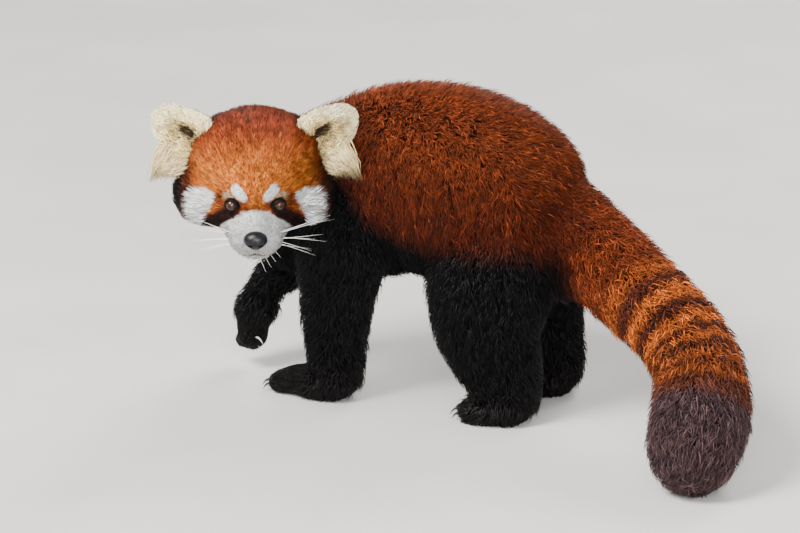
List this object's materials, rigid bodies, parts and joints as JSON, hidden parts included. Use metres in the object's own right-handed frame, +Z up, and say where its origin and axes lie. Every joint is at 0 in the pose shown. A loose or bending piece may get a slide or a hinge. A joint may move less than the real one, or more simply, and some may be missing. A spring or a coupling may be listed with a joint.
{
  "type": "red panda",
  "caption": "Still life-size red panda standing on three feet with one forepaw lifted, its head turned to look back and its ringed tail resting on the floor.",
  "frame": {"origin": "on the floor, under the middle of the animal's bounding box", "axes": "+Z up, -X the way the body faces, -Y the animal's left side, which its head and tail turn to"},
  "size_m": [0.5577, 0.3066, 0.2977],
  "materials": {
    "coat_red": "dense deep rust fur with brighter orange tips",
    "coat_face": "short golden orange fur with white cheeks, brows and muzzle and dark tear marks",
    "coat_cream": "thick cream fur round a dark ear opening",
    "coat_black": "glossy black fur with brown on the paws",
    "coat_tail": "long bushy fur in orange and dark rust rings",
    "coat_tail_dark": "long bushy dark brown fur",
    "nose_skin": "moist pebbled black skin",
    "eye_glass": "polished dark brown eye"
  },
  "bodies": {
    "root": {"head": "coat_face", "nose": "nose_skin", "eye_left": "eye_glass", "eye_right": "eye_glass", "ear_left": "coat_cream", "ear_right": "coat_cream", "neck": "coat_red", "torso": "coat_red", "foreleg_left": "coat_black", "foreleg_right": "coat_black", "forepaw_left": "coat_black", "forepaw_right": "coat_black", "hind_leg_left": "coat_black", "hind_leg_right": "coat_black", "hind_foot_left": "coat_black", "hind_foot_right": "coat_black", "tail_base": "coat_tail", "tail_middle": "coat_tail", "tail_tip": "coat_tail_dark"}
  },
  "joints": []
}
